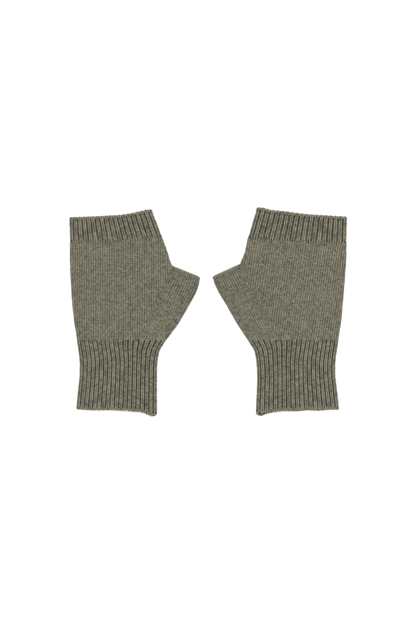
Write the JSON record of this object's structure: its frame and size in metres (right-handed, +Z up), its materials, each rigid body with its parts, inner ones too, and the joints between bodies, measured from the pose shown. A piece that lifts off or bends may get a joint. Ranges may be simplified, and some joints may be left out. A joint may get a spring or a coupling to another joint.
{
  "type": "pair of fingerless gloves",
  "caption": "Pair of knitted fingerless gloves lying flat, with a deep ribbed cuff, plain hand, angled thumb with an open end and a ribbed finger band.",
  "frame": {"origin": "centre of the pair's footprint, on the surface that both gloves lie on", "axes": "+X from the left glove to the right glove, +Y from the cuffs towards the fingers, +Z up"},
  "size_m": [0.264, 0.1964, 0.0108],
  "materials": {
    "plain_knit": "plain knitted wool, soft matt",
    "rib_knit": "one-by-one rib in the same wool, soft matt",
    "edge_yarn": "edge courses in the same wool",
    "seam_yarn": "plied wool yarn",
    "scrap_thread": "thin pale thread"
  },
  "bodies": {
    "left_hand": {"left_cuff_upper": "rib_knit", "left_hand_body": "plain_knit", "left_side_seam_wrist": "seam_yarn", "left_side_seam_hand": "seam_yarn", "left_crotch_stitches": "seam_yarn"},
    "left_cuff": {"left_cuff_lower": "rib_knit", "left_cuff_cast_on_edge": "edge_yarn", "left_side_seam_cuff": "seam_yarn", "left_cuff_yarn_end": "seam_yarn", "left_hem_thread": "scrap_thread"},
    "left_finger_band": {"left_finger_band": "rib_knit", "left_finger_bind_off_edge": "edge_yarn", "left_side_seam_finger_band": "seam_yarn", "left_finger_band_yarn_end": "seam_yarn"},
    "left_thumb": {"left_thumb_gusset": "plain_knit", "left_thumb_bind_off_edge": "edge_yarn", "left_thumb_yarn_end": "seam_yarn"},
    "right_hand": {"right_cuff_upper": "rib_knit", "right_hand_body": "plain_knit", "right_side_seam_wrist": "seam_yarn", "right_side_seam_hand": "seam_yarn", "right_crotch_stitches": "seam_yarn"},
    "right_cuff": {"right_cuff_lower": "rib_knit", "right_cuff_cast_on_edge": "edge_yarn", "right_side_seam_cuff": "seam_yarn", "right_cuff_yarn_end": "seam_yarn"},
    "right_finger_band": {"right_finger_band": "rib_knit", "right_finger_bind_off_edge": "edge_yarn", "right_side_seam_finger_band": "seam_yarn", "right_finger_band_yarn_end": "seam_yarn"},
    "right_thumb": {"right_thumb_gusset": "plain_knit", "right_thumb_bind_off_edge": "edge_yarn", "right_thumb_yarn_end": "seam_yarn"}
  },
  "joints": [
    {"name": "pair_spread", "type": "slide", "parent": "left_hand", "child": "right_hand", "axis": [1, 0, 0], "range_m": [0, 0.06]},
    {"name": "left_thumb_fold", "type": "hinge", "parent": "left_hand", "child": "left_thumb", "pos_m": [-0.066, -0.0265, 0.0098], "axis": [-0.4284, -0.9013, 0.0642], "range_deg": [0, 100]},
    {"name": "left_cuff_turn_up", "type": "hinge", "parent": "left_hand", "child": "left_cuff", "pos_m": [-0.0855, -0.0625, 0.0109], "axis": [-1, 0, 0], "range_deg": [0, 180]},
    {"name": "left_finger_band_turn_down", "type": "hinge", "parent": "left_hand", "child": "left_finger_band", "pos_m": [-0.0873, 0.06985, 0.0103], "axis": [0.9991, 0.0421, 0], "range_deg": [0, 180]},
    {"name": "right_thumb_fold", "type": "hinge", "parent": "right_hand", "child": "right_thumb", "pos_m": [0.066, -0.0265, 0.0098], "axis": [-0.4489, 0.8915, -0.0618], "range_deg": [0, 100]},
    {"name": "right_cuff_turn_up", "type": "hinge", "parent": "right_hand", "child": "right_cuff", "pos_m": [0.0837, -0.0625, 0.0109], "axis": [-1, 0, 0], "range_deg": [0, 180]},
    {"name": "right_finger_band_turn_down", "type": "hinge", "parent": "right_hand", "child": "right_finger_band", "pos_m": [0.0847, 0.0689, 0.0103], "axis": [0.9992, -0.0408, 0], "range_deg": [0, 180]}
  ]
}
